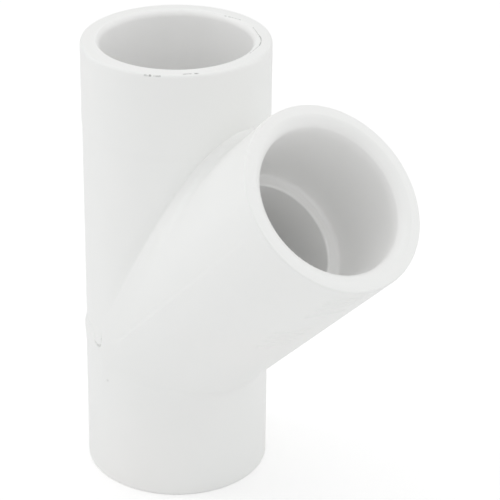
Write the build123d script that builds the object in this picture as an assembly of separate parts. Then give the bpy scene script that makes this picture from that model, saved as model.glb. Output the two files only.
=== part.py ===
from build123d import *
import os

# A 45 degree lateral wye for solvent-welded pipe, moulded in one piece.
# Frame: +Z up the run, +X towards the branch, origin at the centre of the foot socket's face.
# Millimetres and degrees.

# Layout
run_length = 105.0
crossing_height = 35.0
branch_length = 69.6
branch_angle = 45.0

# Sockets for 33.4 mm pipe, and the waterway between them
socket_bore = 33.66
socket_depth = 25.5
socket_wall = 4.27
ledge_width = 2.58
waterway_bore = socket_bore - 2 * ledge_width
ledge_fillet = 0.9
ledge_edge_radius = 0.5
run_lip = 1.0
branch_lip = 1.5

# Outsides: the trunk is a little slimmer than the collars, and the branch a little fatter
foot_outside = socket_bore + 2 * socket_wall
head_outside = foot_outside
trunk_relief = 0.15
trunk_outside = foot_outside - 2 * trunk_relief
branch_margin = 0.4
branch_outside = foot_outside + 2 * branch_margin
foot_rim_radius = 0.4
head_rim_radius = 0.6
branch_rim_radius = 0.35
head_collar_length = 19.5
collar_step_length = 1.5
crotch_radius = 2.2
mitre_radius = 1.2

# Swelling at the top of the foot collar, where the tool's foot insert ended
collar_over_crossing = 0.6
foot_collar_height = crossing_height + collar_over_crossing
foot_swell = 0.28
foot_swell_length = 5.0

# The branch insert ended this far behind the crossing, and left a witness on each flank
branch_heel = 1.0
witness_width = 0.7
witness_height = 0.12
witness_end_gap = 8.0


def turned(points):
    """A solid of revolution about Z from (radius, height) points, closed along the axis."""
    outline = [(0, points[0][1])] + points + [(0, points[-1][1])]
    return revolve(make_face(Plane.XZ * Polyline(*outline, close=True)), Axis.Z)


def on_branch(shape):
    """Carry a shape from the Z axis onto the branch's axis, with the origin at the crossing."""
    return Pos(0, 0, crossing_height) * Rot(0, branch_angle, 0) * shape


def rounded_top(shape, radius):
    return fillet(shape.edges().group_by(Axis.Z)[-1], radius)


def trunk():
    """The run above the crossing, with the head socket's collar stepping out near its top."""
    collar_foot = run_length - head_collar_length
    body = turned([
        (trunk_outside / 2, crossing_height),
        (trunk_outside / 2, collar_foot - collar_step_length / 2),
        (head_outside / 2, collar_foot + collar_step_length / 2),
        (head_outside / 2, run_length),
    ])
    return rounded_top(body, head_rim_radius)


def branch():
    body = turned([(branch_outside / 2, -branch_heel), (branch_outside / 2, branch_length)])
    return on_branch(rounded_top(body, branch_rim_radius))


def crown():
    """Trunk and branch, blended where they close on each other above the crossing."""
    both = trunk() + branch()
    return fillet(both.edges().filter_by(GeomType.BSPLINE), crotch_radius)


def foot():
    """The foot socket's outside, up to where it steps in to the trunk."""
    body = turned([(foot_outside / 2, 0), (foot_outside / 2, foot_collar_height)])
    return fillet(body.edges().group_by(Axis.Z)[0], foot_rim_radius)


def elbow():
    """Foot and branch, blended along the mitre under the crossing."""
    length = branch_length / 2
    arm = on_branch(turned([(branch_outside / 2, -foot_outside / 2), (branch_outside / 2, length)]))
    both = foot() + arm
    both = fillet(both.edges().filter_by(GeomType.BSPLINE), mitre_radius)
    behind = turned([(foot_outside, -2 * foot_outside), (foot_outside, -branch_heel)])
    return both - (on_branch(behind) - foot())


def collar_swell():
    """The foot collar's slight swelling, and its step in to the trunk."""
    crest = foot_collar_height - collar_step_length / 2
    return turned([
        (foot_outside / 2, crest - foot_swell_length),
        (foot_outside / 2 + foot_swell, crest),
        (trunk_outside / 2, crest + collar_step_length),
    ])


def witness(side):
    """A low half-round ridge along the branch's flank, from the crossing towards the rim."""
    sag = witness_width / 2
    radius = (sag ** 2 + witness_height ** 2) / (2 * witness_height)
    length = branch_length - witness_end_gap
    bar = Cylinder(radius, length, align=(Align.CENTER, Align.CENTER, Align.MIN))
    depth = branch_outside / 2 + witness_height - radius
    return on_branch(Pos(0, side * depth, 0) * bar)


def socket_cutter(lip):
    """Socket, bevelled lip and ledge, mouth upwards at the origin, reaching into the waterway."""
    bore = socket_bore / 2
    throat = waterway_bore / 2
    floor = -socket_depth
    with BuildPart() as cutter:
        with BuildSketch(Plane.XZ):
            with BuildLine():
                start = (0, floor - ledge_edge_radius)
                edge = Line(start, (throat, floor - ledge_edge_radius))
                brow = RadiusArc(edge @ 1, (throat + ledge_edge_radius, floor), ledge_edge_radius)
                ledge = Line(brow @ 1, (bore - ledge_fillet, floor))
                root = RadiusArc(ledge @ 1, (bore, floor + ledge_fillet), -ledge_fillet)
                wall = Line(root @ 1, (bore, -lip))
                bevel = Line(wall @ 1, (bore + lip, 0))
                above = Line(bevel @ 1, (bore + lip, lip))
                top = Line(above @ 1, (0, lip))
                Line(top @ 1, start)
            make_face()
        revolve(axis=Axis.Z)
    return cutter.part


def waterway():
    radius = waterway_bore / 2
    upright = (Align.CENTER, Align.CENTER, Align.MIN)
    run = Pos(0, 0, socket_depth / 2) * Cylinder(radius, run_length - socket_depth, align=upright)
    side = on_branch(Cylinder(radius, branch_length - socket_depth, align=upright))
    return run + side


def outside():
    return crown() + elbow() + collar_swell()


def wye_body():
    body = outside() + witness(1) + witness(-1)
    head_socket = Pos(0, 0, run_length) * socket_cutter(run_lip)
    foot_socket = Rot(180, 0, 0) * socket_cutter(run_lip)
    branch_socket = on_branch(Pos(0, 0, branch_length) * socket_cutter(branch_lip))
    return body - head_socket - foot_socket - branch_socket - waterway()


os.makedirs("parts", exist_ok=True)
export_step(wye_body(), "parts/wye_body.step")
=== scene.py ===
from math import acos, cos, hypot, pi, radians, sin, tan

import bmesh
import bpy
import numpy as np
from mathutils import Matrix, Vector


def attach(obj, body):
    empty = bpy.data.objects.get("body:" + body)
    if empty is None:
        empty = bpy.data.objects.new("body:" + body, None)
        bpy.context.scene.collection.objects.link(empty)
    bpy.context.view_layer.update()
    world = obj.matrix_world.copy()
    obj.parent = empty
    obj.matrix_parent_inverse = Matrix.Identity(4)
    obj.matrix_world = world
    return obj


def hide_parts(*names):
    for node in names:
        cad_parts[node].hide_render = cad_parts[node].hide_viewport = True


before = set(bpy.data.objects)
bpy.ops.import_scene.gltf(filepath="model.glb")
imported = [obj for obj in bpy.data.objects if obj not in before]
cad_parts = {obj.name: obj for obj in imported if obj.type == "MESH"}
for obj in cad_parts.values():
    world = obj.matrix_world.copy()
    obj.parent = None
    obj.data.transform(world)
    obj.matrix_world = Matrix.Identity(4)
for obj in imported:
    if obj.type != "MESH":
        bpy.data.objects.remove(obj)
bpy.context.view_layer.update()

mm = 0.001
far = 9.0  # a distance past every detail's reach
tinyLength = 1e-4
tinyShare = 1e-6
white = (1, 1, 1, 1)
print("frame loaded")

# The fitting, in millimetres from the centre of the foot's face
wye = {
    "crossing": 35.0,
    "lean": 45,
    "around": 160,
    "tube": 21.0,
    "throat": 14.25,
    "bore": 16.83,
    "socketDepth": 25.5,
    "ledgeFillet": 0.9,
    "ledgeEdge": 0.5,
    "lipCorner": 0.1,
    "rimSupport": 0.3,
    "throatStart": 2,
    "wallRows": 8,
    "longWall": 10,
    "trunk": 20.95,
    "collar": 21.1,
    "headStep": (84.75, 86.25),
    "footSwell": (29.85, 34.85, 36.35, 0.28),
    "branch": 21.5,
    "heel": -2.4,
    "crotchWeb": 3.4,
    "webOpening": 0.7,
    "webSoft": 1.6,
    "mitreBlend": 2.0,
    "blendOpening": 0.65,
    "leastClosing": 0.02,
    "weld": 0.002,
    "sharp": 35,
}
lean = radians(wye["lean"])

# Each leg runs from the crossing to its own face. Its X looks away from the head's -X seam,
# and half holds the angles from its axis to the two seams it shares, on its +X side and its -X side
legs = {
    "head": {"turn": 0, "length": 70.0, "radius": 21.1, "rim": (0.55, 0.95), "lip": 0.85, "flare": (0, 59),
             "half": (22.5, 90), "rows": 64, "innerRows": 22},
    "branch": {"turn": wye["lean"], "length": 69.6, "radius": 21.5, "rim": (0.4, 0.35), "lip": 2.4,
               "flare": (25, 80), "half": (67.5, 22.5), "rows": 64, "innerRows": 18},
    "foot": {"turn": 180, "length": 35.0, "radius": 21.1, "rim": (0.4, 0.4), "lip": 0.6, "flare": (0, 44),
             "half": (90, 67.5), "rows": 32, "innerRows": 8},
}


def roundCorner(before, corner, after, radius, steps=5, support=0.25):
    # Points of the fillet at one corner of a profile, with a support point each side
    a = (Vector(before) - Vector(corner)).normalized()
    b = (Vector(after) - Vector(corner)).normalized()
    half = acos(max(-1, min(1, a.dot(b)))) / 2
    reach = radius / tan(half)
    centre = Vector(corner) + (a + b).normalized() * radius / sin(half)
    start = Vector(corner) + a * reach - centre
    end = Vector(corner) + b * reach - centre
    sweep = pi - 2 * half
    arc = [centre + (start * sin(sweep * (1 - i / steps)) + end * sin(sweep * i / steps)) / sin(sweep)
           for i in range(steps + 1)]
    hold = min(support, radius / 3)
    return [arc[0] + a * hold] + arc + [arc[-1] + b * hold]


def lipCurve(leg, steps=9):
    # The lip flares off the socket's wall, and meets the face at a corner
    start, end = [radians(flare) for flare in leg["flare"]]
    radius = leg["lip"] / (cos(start) - cos(end))
    turns = [end + (start - end) * i / steps for i in range(steps + 1)]
    return [(wye["bore"] + radius * (cos(start) - cos(turn)),
             leg["length"] - radius * (sin(end) - sin(turn))) for turn in turns]


def rimCurve(leg, steps=8):
    # The outer edge's rounding, from the outside to the face
    wide, drop = leg["rim"]
    turns = [pi / 2 * i / steps for i in range(steps + 1)]
    return [(leg["radius"] - wide * (1 - cos(turn)),
             leg["length"] - drop * (1 - sin(turn))) for turn in turns]


def endProfile(leg):
    # From the outside over the rim, the lip, the socket's wall and the ledge, to the throat
    floor = leg["length"] - wye["socketDepth"]
    inner = floor - wye["throatStart"]
    rim = rimCurve(leg)
    lip = lipCurve(leg)
    root = (wye["bore"], floor)
    brow = (wye["throat"], floor)
    points = [(leg["radius"], rim[0][1] - wye["rimSupport"])] + rim
    points += roundCorner(rim[-1], lip[0], lip[1], wye["lipCorner"], 3) + lip[1:]
    points += roundCorner(lip[-1], root, brow, wye["ledgeFillet"])
    points += roundCorner(root, brow, (wye["throat"], inner), wye["ledgeEdge"])
    return points, inner


def seamPlace(leg, x):
    # How far up its own line a point lies on the plane that the neighbouring leg shares
    side = leg["half"][0] if x > 0 else leg["half"][1]
    return abs(x) / tan(radians(side)) if abs(x) > tinyLength else 0


def nextRing(made, edges, radius, height):
    # Extrudes the last ring, and sets the new one's radius and its height, which may depend on the point
    grown = bmesh.ops.extrude_edge_only(made, edges=edges)["geom"]
    verts = [g for g in grown if isinstance(g, bmesh.types.BMVert)]
    new = set(verts)
    for v in verts:
        grow = radius / hypot(v.co.x, v.co.y)
        v.co.x *= grow
        v.co.y *= grow
        v.co.z = height(v.co.x) if callable(height) else height
    return list(dict.fromkeys(e for v in verts for e in v.link_edges if e.other_vert(v) in new))


def fixOrder(made):
    # Extruding leaves its edges and faces in an order that differs from run to run, so places set it
    def corners(element):
        return sorted(v.index for v in element.verts)

    for elements, key in ((made.verts, lambda v: v.co[:]), (made.edges, corners), (made.faces, corners)):
        for rank, element in enumerate(sorted(elements, key=key)):
            element.index = rank
        elements.sort()


def addLeg(made, leg):
    part = bmesh.new()
    skin = part.verts.layers.int.new("skin")
    circle = bmesh.ops.create_circle(part, segments=wye["around"], radius=wye["tube"])["verts"]
    for v in circle:
        v.co.z = seamPlace(leg, v.co.x)
    profile, inner = endProfile(leg)
    top = profile[0][1]
    edges = list(part.edges)
    for row in range(1, leg["rows"] + 1):
        share = row / leg["rows"]
        edges = nextRing(part, edges, wye["tube"],
                         lambda x: seamPlace(leg, x) * (1 - share) + top * share)
    outer = set(part.verts)
    for (r, h), (radius, height) in zip(profile, profile[1:]):
        rows = wye["wallRows"] if hypot(radius - r, height - h) > wye["longWall"] else 1
        for row in range(1, rows + 1):
            share = row / rows
            edges = nextRing(part, edges, r * (1 - share) + radius * share,
                             h * (1 - share) + height * share)
    edges = nextRing(part, edges, wye["throat"], inner)
    for row in range(1, leg["innerRows"] + 1):
        share = row / leg["innerRows"]
        edges = nextRing(part, edges, wye["throat"],
                         lambda x: inner * (1 - share) + seamPlace(leg, x) * share)
    for v in part.verts:
        v[skin] = int(v in outer)
    turned = Matrix.Rotation(radians(leg["turn"]), 3, "Y")
    bmesh.ops.rotate(part, cent=(0, 0, 0), matrix=turned, verts=part.verts)
    bmesh.ops.translate(part, vec=(0, 0, wye["crossing"]), verts=part.verts)
    fixOrder(part)
    carried = bpy.data.meshes.new("leg")
    part.to_mesh(carried)
    part.free()
    ends = np.empty(len(carried.edges) * 2, np.int32)
    carried.edges.foreach_get("vertices", ends)
    carried.edges.foreach_set("vertices", np.sort(ends.reshape(-1, 2), axis=1).ravel())
    made.from_mesh(carried)
    bpy.data.meshes.remove(carried)


def smoothStep(x, low, high):
    t = np.clip((x - low) / (high - low), 0, 1)
    return t * t * (3 - 2 * t)


def runRadius(z):
    start, crest, end, swell = wye["footSwell"]
    radius = np.full_like(z, wye["trunk"])
    radius += (wye["collar"] - wye["trunk"]) * smoothStep(z, *wye["headStep"])
    low = wye["collar"] + swell * smoothStep(z, start, crest)
    return low + (radius - low) * smoothStep(z, crest, end)


def alongBranch(p):
    # Along the branch from the crossing, across it towards its underside, and across the fitting
    x, y, z = p[:, 0], p[:, 1], p[:, 2] - wye["crossing"]
    return (x + z) * cos(lean), (x - z) * cos(lean), y


def softLower(a, b, blend):
    # The lower of two distances, with a round blend where they meet
    share = np.clip(blend - np.abs(a - b), 0, None) / blend
    return np.minimum(a, b) - share * share * blend / 4


def skinParts(p):
    # Distances outside the run, the branch and the flat web that closes the crotch between them
    x, y = p[:, 0], p[:, 1]
    down = alongBranch(p)[1]
    around, off = np.hypot(x, y), np.hypot(down, y)
    run = around - runRadius(p[:, 2])
    branch = np.maximum(off - wye["branch"], wye["heel"] - x)
    facing = (x * down * cos(lean) + y * y) / np.maximum(around * off, tinyShare)
    opening = np.sqrt(np.clip((1 - facing) / 2, tinyShare, 1))
    closing = np.sqrt(np.clip((1 + facing) / 2, wye["leastClosing"], 1))
    web = (run + branch - wye["crotchWeb"] * np.minimum(opening, wye["webOpening"])) / (2 * closing)
    return run, branch, web, opening, down


def skinDistance(p):
    run, branch, web, opening, down = skinParts(p)
    openness = np.minimum(1, opening / wye["blendOpening"])
    crotch = np.minimum(run, softLower(branch, web, wye["webSoft"] * openness + tinyLength))
    mitre = softLower(run, branch, wye["mitreBlend"] * openness + tinyLength)
    return np.where(down < 0, crotch, mitre)


def skinSlope(p, step=0.01):
    changes = [skinDistance(p + d) - skinDistance(p - d) for d in np.eye(3) * step]
    return np.stack([change / (2 * step) for change in changes], axis=1)


def skinPoints(made):
    skin = made.verts.layers.int["skin"]
    verts = [v for v in made.verts if v[skin]]
    return verts, np.array([v.co[:] for v in verts])


def settleSkin(made, rounds=8, leastSlope=0.05):
    # The outer skin's points move along the slope onto the blended surface
    verts, p = skinPoints(made)
    for _ in range(rounds):
        slope = skinSlope(p)
        p -= (skinDistance(p) / np.maximum((slope ** 2).sum(axis=1), leastSlope))[:, None] * slope
    for v, co in zip(verts, p):
        v.co = co


# What stands on the skin or is cut into it. Angles go round the branch from its underside towards +Y.
# The faces within reach of a detail are halved again and again, as many times as it has cuts
relief = {
    "crease": {"height": 0.28, "half": 0.75, "grows": (0.2, 0.5), "fades": (0.7, 0.85),
               "opening": 0.08, "within": 4, "reach": 1.2, "cuts": 2},
    "seam": {"span": (3.6, 64.6), "start": 2, "end": 4, "side": 15, "rise": (0.05, 0.5), "fall": 1.4,
             "height": 0.12, "loss": 0.6, "lossSpan": (25, 50), "reach": 0.9, "cuts": 2},
    "seamDip": {"depth": 0.05, "place": -0.25, "half": 0.3},
    "bars": {"rows": (((66.3, 63.9, 61.5, 57.6), (-29, -11)), ((48.2, 45.6, 43.0, 40.4), (-33, -17))),
             "slant": 0.2, "middle": -20, "width": 0.6, "soft": 0.35, "height": 0.2,
             "offAxis": 20, "after": 20, "reach": 0.6, "cuts": 2},
    "notch": {"path": ((-12.6, -17.0, 36.7), (-11.3, -17.8, 36.75), (-7.9, -19.55, 37.5), (-6.4, -20.1, 36.5),
                       (-5.1, -20.5, 34.9), (-3.4, -20.9, 34.2), (-2.3, -21.1, 34.9), (-2.2, -21.1, 37.6)),
              "depth": (0.02, 0.16, 0.2, 0.25, 0.4, 0.6, 0.6, 0.2), "half": 0.3, "reach": 0.6, "cuts": 3},
    "web": {"opening": 0.05, "within": 4, "reach": 1, "rounds": 4},
}


def nearWeb(p):
    # 0 under the web and so close to it that points would crowd at its edges
    edge = relief["web"]
    run, branch, _, opening, down = skinParts(p)
    under = (down < 0) & (opening > edge["opening"])
    return np.where(under & (np.maximum(run, branch) < edge["within"]), 0, far)


def spreadPoints(made, near, reach, rounds=1, passes=3, share=0.5):
    # Evens out the points near a detail, and puts them back on the skin
    for _ in range(rounds):
        verts, p = skinPoints(made)
        crowded = [v for v, gap in zip(verts, near(p)) if gap < reach]
        for _ in range(passes):
            bmesh.ops.smooth_vert(made, verts=crowded, factor=share,
                                  use_axis_x=True, use_axis_y=True, use_axis_z=True)
        settleSkin(made)


def nearSeam(p, margin=1):
    # Distance across the branch from its witness line
    seam = relief["seam"]
    along, across, y = alongBranch(p)
    inside = (along > seam["span"][0] - margin) & (along < seam["span"][1] + margin)
    return np.where(inside & (np.abs(y) > seam["side"]), np.abs(across), far)


def nearBars(p):
    # Distance outside the nearest bar
    bars = relief["bars"]
    along, across, y = alongBranch(p)
    turn = np.degrees(np.arctan2(y, across))
    level = along - bars["slant"] * (turn - bars["middle"])
    nearest = np.full(len(p), far)
    for places, (low, high) in bars["rows"]:
        beyond = np.maximum(np.maximum(low - turn, turn - high), 0) * radians(wye["branch"])
        for place in places:
            aside = np.maximum(np.abs(level - place) - bars["width"] / 2, 0)
            nearest = np.minimum(nearest, np.hypot(aside, beyond))
    return np.where((np.hypot(across, y) > bars["offAxis"]) & (along > bars["after"]), nearest, far)


def nearNotch(p):
    # Distance from the notch's path, and its depth at that place
    nearest, depth = np.full(len(p), far), np.zeros(len(p))
    path, depths = np.array(relief["notch"]["path"]), relief["notch"]["depth"]
    for a, b, start, end in zip(path, path[1:], depths, depths[1:]):
        share = np.clip((p - a) @ (b - a) / ((b - a) @ (b - a)), 0, 1)
        gap = np.linalg.norm(p - a - share[:, None] * (b - a), axis=1)
        depth = np.where(gap < nearest, start + (end - start) * share, depth)
        nearest = np.minimum(nearest, gap)
    return nearest, depth


def nearCrease(p):
    # Distance from the line where the web meets the run
    crease = relief["crease"]
    run, branch, web, opening, down = skinParts(p)
    beside = (down < 0) & (opening > crease["opening"]) & (branch < crease["within"])
    return np.where(beside, np.abs(run) + np.abs(web), far)


def seamHeight(p):
    # The witness line's low ridge and the hairline dip beside it, both weaker towards the branch's mouth
    seam, dip = relief["seam"], relief["seamDip"]
    along, across, y = alongBranch(p)
    first, last = seam["span"]
    crest = seam["rise"][1]
    ends = smoothStep(along, first, first + seam["start"]) * (1 - smoothStep(along, last - seam["end"], last))
    fade = 1 - seam["loss"] * smoothStep(along, *seam["lossSpan"])
    beyond = 1 - smoothStep(across, crest, crest + seam["fall"])
    ridge = seam["height"] * smoothStep(across, *seam["rise"]) * beyond
    hollow = dip["depth"] * np.exp(-((across - dip["place"]) / dip["half"]) ** 2)
    return np.where(np.abs(y) > seam["side"], (ridge - hollow) * ends * fade, 0)


def reliefHeight(p):
    bars, crease, notch = relief["bars"], relief["crease"], relief["notch"]
    height = seamHeight(p)
    height += bars["height"] * (1 - smoothStep(nearBars(p), 0, bars["soft"]))
    opening = skinParts(p)[3]
    ending = 1 - smoothStep(opening, *crease["fades"])
    cut = crease["height"] * smoothStep(opening, *crease["grows"]) * ending
    height -= cut * np.exp(-(nearCrease(p) / crease["half"]) ** 2)
    gap, depth = nearNotch(p)
    return height - depth * np.exp(-(gap / notch["half"]) ** 2)


def refineSkin(made, near, reach, cuts):
    # Smaller faces where the skin has fine detail
    skin = made.verts.layers.int["skin"]
    for _ in range(cuts):
        faces = [f for f in made.faces if all(v[skin] for v in f.verts)]
        close = near(np.array([f.calc_center_median()[:] for f in faces])) < reach
        edges = list(dict.fromkeys(e for f, c in zip(faces, close) if c for e in f.edges))
        cut = bmesh.ops.subdivide_edges(made, edges=edges, cuts=1, use_grid_fill=True)
        for g in cut["geom_inner"]:
            if isinstance(g, bmesh.types.BMVert):
                g[skin] = 1
        settleSkin(made)
        spreadPoints(made, near, reach)


def raiseRelief(made):
    # The skin's points move along its slope by the height of what stands there
    verts, p = skinPoints(made)
    slope = skinSlope(p)
    slope /= np.linalg.norm(slope, axis=1)[:, None]
    for v, co in zip(verts, p + slope * reliefHeight(p)[:, None]):
        v.co = co


def meshObject(name, made):
    mesh = bpy.data.meshes.new(name)
    made.to_mesh(mesh)
    made.free()
    thing = bpy.data.objects.new(name, mesh)
    bpy.context.collection.objects.link(thing)
    return thing


def makeBody():
    made = bmesh.new()
    for leg in legs.values():
        addLeg(made, leg)
    bmesh.ops.remove_doubles(made, verts=made.verts, dist=wye["weld"])
    settleSkin(made)
    spreadPoints(made, nearWeb, relief["web"]["reach"], relief["web"]["rounds"])
    print("three legs joined")
    details = {"crease": nearCrease, "seam": nearSeam, "bars": nearBars, "notch": lambda p: nearNotch(p)[0]}
    for name, near in details.items():
        refineSkin(made, near, relief[name]["reach"], relief[name]["cuts"])
    raiseRelief(made)
    bmesh.ops.recalc_face_normals(made, faces=made.faces)
    for face in made.faces:
        face.smooth = True
    for edge in made.edges:
        edge.smooth = len(edge.link_faces) == 2 and edge.calc_face_angle(0) < radians(wye["sharp"])
    bmesh.ops.scale(made, vec=(mm, mm, mm), verts=made.verts)
    triangles = sum(len(f.verts) - 2 for f in made.faces)
    openEdges = sum(len(e.link_faces) != 2 for e in made.edges)
    print("fitting has", triangles, "triangles and", openEdges, "open edges")
    return meshObject("fitting", made)


# The camera's place in metres, and the way its own axes point
view = {
    "place": (0.334165, -0.297726, 0.284058),
    "right": (0.673332, 0.739336, 0.002361),
    "up": (-0.340707, 0.307454, 0.888477),
    "back": (0.656157, -0.599044, 0.458916),
    "lens": 158.2,
    "sensor": 36,
    "shiftX": 0.099,
    "shiftY": 0.001,
    "clipEnd": 20,
}


def addCamera():
    data = bpy.data.cameras.new("camera")
    data.lens = view["lens"]
    data.sensor_width = view["sensor"]
    data.shift_x = view["shiftX"]
    data.shift_y = view["shiftY"]
    data.clip_end = view["clipEnd"]
    camera = bpy.data.objects.new("camera", data)
    axes = Matrix((view["right"], view["up"], view["back"])).transposed().to_4x4()
    camera.matrix_world = Matrix.Translation(view["place"]) @ axes
    bpy.context.collection.objects.link(camera)
    bpy.context.scene.camera = camera


# White PVC with a half gloss: faint flow mottling in the tone, uneven gloss, a very fine moulded skin,
# the scuffs of handling at the head's rim, painted shade along the notch and painted light on the bores'
# walls. Each pattern has its scale and detail
plastic = {
    "light": (0.945, 0.95, 0.94),
    "dark": (0.925, 0.935, 0.922),
    "warm": (0.945, 0.935, 0.92),
    # The dark of the scuffs, also used for the painted shade along the notch
    "scuffAndNotchShade": (0.42, 0.42, 0.41),
    # Painted light: a whiter tone on the bores' walls, for the light bounced inside them
    "inside": (0.98, 0.98, 0.972),
    "boreLightEdge": (16.9, 18.4),
    "roughness": (0.30, 0.42),
    "ior": 1.53,
    "flow": (90, 4, 0.55),
    "warmth": (22, 1),
    "warmthMiddle": 0.5,
    "warmthGain": 2.5,
    "markBreakUp": (1500, 3),
    "markBreakUpRange": (0.33, 0.5),
    "wornRoughness": 0.4,
    "strokeCore": 0.2,
    "grain": (1400, 2),
    "grainStrength": 0.06,
    "grainDistance": 0.0002,
}

# Each mark has its points in millimetres, its half width and its strength. The two along the notch are
# painted shade
marksAndNotchShade = [
    (((-3.0, 17.25, 104.95), (-1.0, 17.7, 105), (0.1, 17.95, 105), (1.35, 18.0, 105)), 0.22, 0.6),
    (((-0.4, 17.85, 105), (1.35, 18.0, 105)), 0.26, 0.5),
    (((6.5, 16.95, 105), (8.2, 16.1, 105), (10.2, 15.0, 105)), 0.2, 0.55),
    (((10.2, 15.0, 105), (11.9, 14.1, 105), (13.3, 13.0, 105), (14.4, 11.7, 105), (15.1, 10.7, 105)),
     0.22, 0.8),
    (((15.1, 10.7, 105), (16.25, 8.0, 105), (16.95, 6.1, 105)), 0.15, 0.5),
    (((10.4, -18.2, 104.7), (10.9, -17.9, 104.7)), 0.34, 0.5),
    (((11.15, -17.65, 104.75), (11.4, -17.5, 104.75)), 0.42, 0.95),
    (((12.1, -17.05, 104.75), (13.1, -16.3, 104.75)), 0.32, 0.6),
    (((15.9, -12.45, 105), (17.6, -10.0, 105)), 0.27, 1.0),
    (((17.3, -10.4, 105), (17.75, -9.8, 105)), 0.44, 1.0),
    (((-0.4, -21.1, 26.5), (-0.15, -21.1, 26.65)), 0.42, 0.22),
    # Painted shade: darker along the notch, where its groove is in shade
    (((-11.3, -17.8, 36.75), (-7.9, -19.55, 37.5), (-6.4, -20.1, 36.5), (-5.1, -20.5, 34.9)), 0.2, 0.12),
    (((-5.1, -20.5, 34.9), (-3.4, -20.9, 34.2), (-2.3, -21.1, 34.9), (-2.2, -21.1, 36.8)), 0.42, 0.42),
]


def math(tree, kind, a, b, clamp=False):
    # A Math node whose inputs are numbers or other nodes' outputs
    node = tree.nodes.new("ShaderNodeMath")
    node.operation = kind
    node.use_clamp = clamp
    for socket, value in zip(node.inputs, (a, b)):
        if isinstance(value, (int, float)):
            socket.default_value = value
        else:
            tree.links.new(value, socket)
    return node.outputs[0]


def vector(tree, kind, a, b=None):
    node = tree.nodes.new("ShaderNodeVectorMath")
    node.operation = kind
    for socket, value in zip(node.inputs, (a, b)):
        if value is None:
            continue
        if isinstance(value, (tuple, Vector)):
            socket.default_value = value
        else:
            tree.links.new(value, socket)
    return node


def mapRange(tree, value, fromRange=(0, 1), toRange=(0, 1), kind="LINEAR"):
    node = tree.nodes.new("ShaderNodeMapRange")
    node.interpolation_type = kind
    node.inputs["From Min"].default_value, node.inputs["From Max"].default_value = fromRange
    node.inputs["To Min"].default_value, node.inputs["To Max"].default_value = toRange
    tree.links.new(value, node.inputs["Value"])
    return node.outputs["Result"]


def strokeMask(tree, place, start, end, half):
    # 1 on the line from start to end, falling to 0 at its half width
    a, b = Vector(start) * mm, Vector(end) * mm
    way = b - a
    off = vector(tree, "SUBTRACT", place, a).outputs["Vector"]
    along = vector(tree, "DOT_PRODUCT", off, way / way.length_squared).outputs["Value"]
    share = math(tree, "MULTIPLY", along, 1, True)
    foot = vector(tree, "SCALE", way)
    tree.links.new(share, foot.inputs["Scale"])
    gap = vector(tree, "SUBTRACT", off, foot.outputs["Vector"]).outputs["Vector"]
    distance = vector(tree, "LENGTH", gap).outputs["Value"]
    return mapRange(tree, distance, (half * mm, half * mm * plastic["strokeCore"]), kind="SMOOTHSTEP")


def noise(tree, place, scale, detail, rough=0.5):
    node = tree.nodes.new("ShaderNodeTexNoise")
    node.inputs["Scale"].default_value = scale
    node.inputs["Detail"].default_value = detail
    node.inputs["Roughness"].default_value = rough
    tree.links.new(place, node.inputs["Vector"])
    return node.outputs["Fac"]


def boreLightFade(tree, distance):
    # 1 inside the bore's edge, falling to 0 over its lip: where the bores' painted light goes
    inside, outside = plastic["boreLightEdge"]
    return mapRange(tree, distance, (outside * mm, inside * mm))


def paintedBoreLightMask(tree, place):
    # Painted light: a whiter tone on the walls of the run's bore and the branch's, for the light bounced
    # inside them
    flat = vector(tree, "MULTIPLY", place, (1, 1, 0)).outputs["Vector"]
    run = boreLightFade(tree, vector(tree, "LENGTH", flat).outputs["Value"])
    axis = Vector((sin(lean), 0, cos(lean)))
    off = vector(tree, "SUBTRACT", place, (0, 0, wye["crossing"] * mm)).outputs["Vector"]
    beside = vector(tree, "CROSS_PRODUCT", off, axis).outputs["Vector"]
    branch = boreLightFade(tree, vector(tree, "LENGTH", beside).outputs["Value"])
    ahead = math(tree, "GREATER_THAN", vector(tree, "DOT_PRODUCT", off, axis).outputs["Value"], 0)
    return math(tree, "MAXIMUM", run, math(tree, "MULTIPLY", branch, ahead))


def mixColour(tree, share, a, b):
    node = tree.nodes.new("ShaderNodeMix")
    node.data_type = "RGBA"
    for name, value in (("Factor", share), ("A", a), ("B", b)):
        if isinstance(value, tuple):
            node.inputs[name].default_value = value + (1,)
        else:
            tree.links.new(value, node.inputs[name])
    return node.outputs["Result"]


def wearAndNotchShadeMask(tree, place):
    # The marks, the scuffs and the painted shade along the notch, broken up by a fine noise
    wearAndNotchShade = 0.0
    for points, half, strength in marksAndNotchShade:
        for start, end in zip(points, points[1:]):
            stroke = math(tree, "MULTIPLY", strokeMask(tree, place, start, end, half), strength)
            wearAndNotchShade = math(tree, "MAXIMUM", wearAndNotchShade, stroke)
    brokenUp = mapRange(tree, noise(tree, place, *plastic["markBreakUp"]), plastic["markBreakUpRange"])
    return math(tree, "MULTIPLY", wearAndNotchShade, brokenUp)


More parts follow.
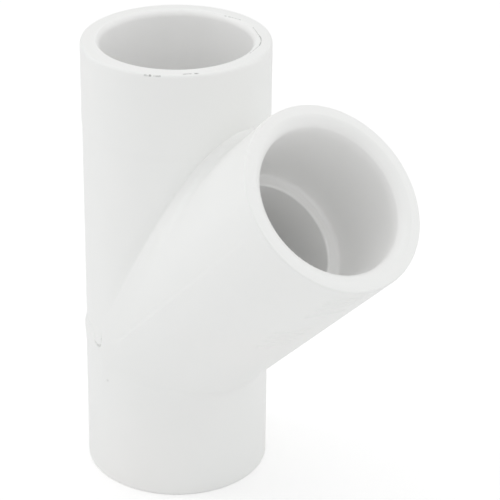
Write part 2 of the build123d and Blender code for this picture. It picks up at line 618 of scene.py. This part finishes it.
def whitePlastic():
    material = bpy.data.materials.new("whitePlastic")
    material.use_nodes = True
    tree = material.node_tree
    shader = tree.nodes["Principled BSDF"]
    place = tree.nodes.new("ShaderNodeTexCoord").outputs["Object"]
    flow = noise(tree, place, *plastic["flow"])
    tone = mixColour(tree, flow, plastic["dark"], plastic["light"])
    warmth = math(tree, "SUBTRACT", noise(tree, place, *plastic["warmth"]), plastic["warmthMiddle"])
    warmth = math(tree, "MULTIPLY", warmth, plastic["warmthGain"], True)
    tone = mixColour(tree, warmth, tone, plastic["warm"])
    # Painted light: the bores' walls are whiter
    tone = mixColour(tree, paintedBoreLightMask(tree, place), tone, plastic["inside"])
    # Scuffs, and painted shade darkening the notch
    wearAndNotchShade = wearAndNotchShadeMask(tree, place)
    tree.links.new(mixColour(tree, wearAndNotchShade, tone, plastic["scuffAndNotchShade"]), shader.inputs["Base Color"])
    gloss = mapRange(tree, flow, toRange=plastic["roughness"])
    roughness = math(tree, "ADD", gloss, math(tree, "MULTIPLY", wearAndNotchShade, plastic["wornRoughness"]))
    tree.links.new(roughness, shader.inputs["Roughness"])
    grain = tree.nodes.new("ShaderNodeBump")
    grain.inputs["Strength"].default_value = plastic["grainStrength"]
    grain.inputs["Distance"].default_value = plastic["grainDistance"]
    tree.links.new(noise(tree, place, *plastic["grain"]), grain.inputs["Height"])
    tree.links.new(grain.outputs["Normal"], shader.inputs["Normal"])
    shader.inputs["IOR"].default_value = plastic["ior"]
    return material


# Studio: a white room of soft light, a pale table, and soft boxes. Places and sizes are in metres
studio = {
    "table": {"tone": (0.95, 0.95, 0.95), "size": 4, "roughness": 0.9, "specular": 0.2, "lift": 0.2},
    "room": 0.68,
    "backdrop": 1.0,
    "aim": (0.01, 0, 0.05),
    "boxes": {
        "topBox": {"place": (0.05, 0.05, 0.9), "size": (0.7, 0.7), "power": 1.0},
        "leftBox": {"place": (-0.55, -0.35, 0.35), "size": (0.3, 0.8), "power": 0.58},
        "highBox": {"place": (-0.45, -0.45, 0.7), "size": (0.4, 0.4), "power": 0.42},
        "rightBox": {"place": (0.35, 0.55, 0.35), "size": (0.3, 0.8), "power": 0.55},
        "frontBox": {"place": (0.55, -0.5, 0.42), "size": (0.35, 0.35), "power": 0.3},
    },
}


def addFloor():
    table = studio["table"]
    made = bmesh.new()
    bmesh.ops.create_grid(made, x_segments=1, y_segments=1, size=table["size"])
    floor = meshObject("floor", made)
    material = bpy.data.materials.new("paleFloor")
    material.use_nodes = True
    tree = material.node_tree
    shader = tree.nodes["Principled BSDF"]
    shader.inputs["Base Color"].default_value = table["tone"] + (1,)
    shader.inputs["Roughness"].default_value = table["roughness"]
    shader.inputs["Specular IOR Level"].default_value = table["specular"]
    shader.inputs["Emission Color"].default_value = white
    rays = tree.nodes.new("ShaderNodeLightPath")
    lift = math(tree, "MULTIPLY", rays.outputs["Is Camera Ray"], table["lift"])
    tree.links.new(lift, shader.inputs["Emission Strength"])
    floor.data.materials.append(material)


def addRoom():
    # The camera sees the backdrop, and everything else the room's softer light
    world = bpy.data.worlds.new("room")
    bpy.context.scene.world = world
    world.use_nodes = True
    tree = world.node_tree
    seen = tree.nodes["Background"]
    seen.inputs["Color"].default_value = white
    seen.inputs["Strength"].default_value = studio["backdrop"]
    glow = tree.nodes.new("ShaderNodeBackground")
    glow.inputs["Color"].default_value = white
    glow.inputs["Strength"].default_value = studio["room"]
    rays = tree.nodes.new("ShaderNodeLightPath")
    mix = tree.nodes.new("ShaderNodeMixShader")
    tree.links.new(rays.outputs["Is Camera Ray"], mix.inputs[0])
    tree.links.new(glow.outputs[0], mix.inputs[1])
    tree.links.new(seen.outputs[0], mix.inputs[2])
    tree.links.new(mix.outputs[0], tree.nodes["World Output"].inputs["Surface"])


def addSoftbox(name, box):
    data = bpy.data.lights.new(name, "AREA")
    data.shape = "RECTANGLE"
    data.size, data.size_y = box["size"]
    data.energy = box["power"]
    lamp = bpy.data.objects.new(name, data)
    aim = Vector(studio["aim"]) - Vector(box["place"])
    lamp.matrix_world = Matrix.Translation(box["place"]) @ aim.to_track_quat("-Z", "Y").to_matrix().to_4x4()
    lamp.visible_camera = False
    bpy.context.collection.objects.link(lamp)


addCamera()
addFloor()
addRoom()
for name, box in studio["boxes"].items():
    addSoftbox(name, box)
bpy.context.scene.view_settings.view_transform = "Standard"
print("studio ready")

body = makeBody()
body.data.materials.append(whitePlastic())
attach(body, "root")
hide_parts("wye_body")
print("fitting dressed")
